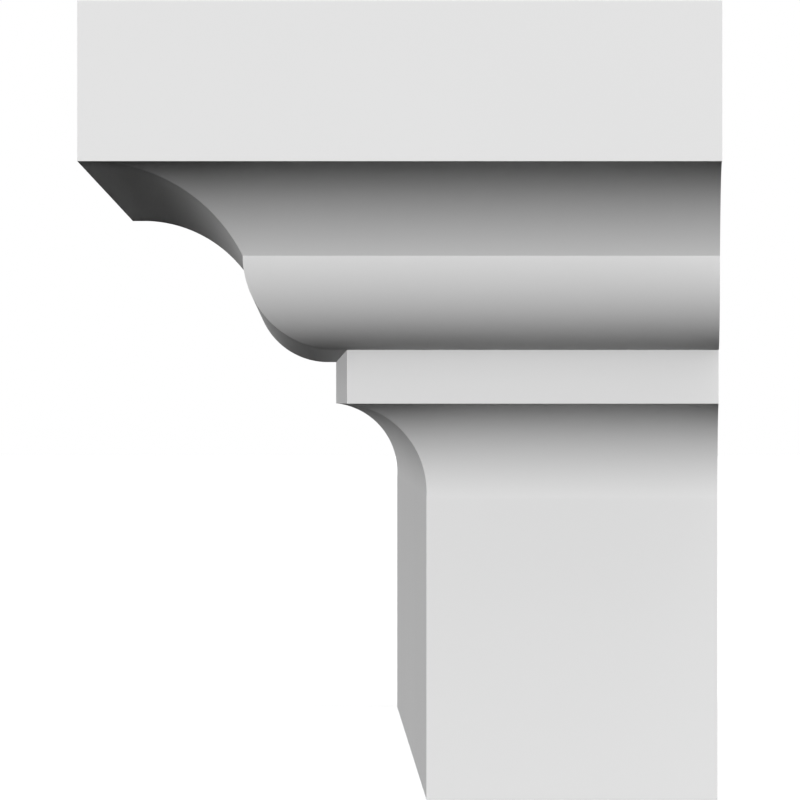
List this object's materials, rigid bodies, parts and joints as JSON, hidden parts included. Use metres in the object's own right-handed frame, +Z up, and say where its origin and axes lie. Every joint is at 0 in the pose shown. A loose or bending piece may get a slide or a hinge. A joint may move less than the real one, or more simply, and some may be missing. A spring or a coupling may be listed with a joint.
{
  "type": "door crosshead",
  "caption": "Long moulded crosshead for the head of a door casing, with a plain frieze and a stepped cove, ovolo, cavetto and fascia crown that returns to the wall at both ends.",
  "frame": {"origin": "middle of the frieze's underside, halfway along the crosshead and halfway from the wall to the frieze's face", "axes": "+X along the crosshead, +Y into the wall behind it, +Z up; the moulded front faces -Y"},
  "size_m": [1.584, 0.1019, 0.127],
  "materials": {
    "primed_urethane": "white factory primer, matt, on moulded high-density polyurethane"
  },
  "bodies": {
    "root": {"crosshead": "primed_urethane"}
  },
  "joints": []
}
